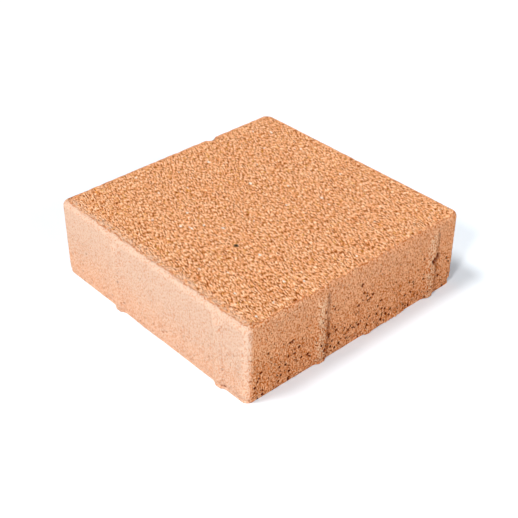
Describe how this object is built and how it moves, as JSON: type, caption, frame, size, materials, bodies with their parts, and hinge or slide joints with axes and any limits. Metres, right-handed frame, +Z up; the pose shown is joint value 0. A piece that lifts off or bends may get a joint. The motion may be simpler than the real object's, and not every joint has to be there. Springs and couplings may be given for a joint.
{
  "type": "concrete paving stone",
  "caption": "Square concrete paving block with a brushed rough walking face, worn top edges and low upright spacer ribs on its sides.",
  "frame": {"origin": "middle of the flat underside", "axes": "+Z up from the underside to the walking face, X and Y square to the sides"},
  "size_m": [0.201, 0.201, 0.06],
  "materials": {
    "concrete": "matt, brushed rough on the walking face, pored and smooth-pressed on the sides"
  },
  "bodies": {
    "root": {"paving_stone": "concrete"}
  },
  "joints": []
}
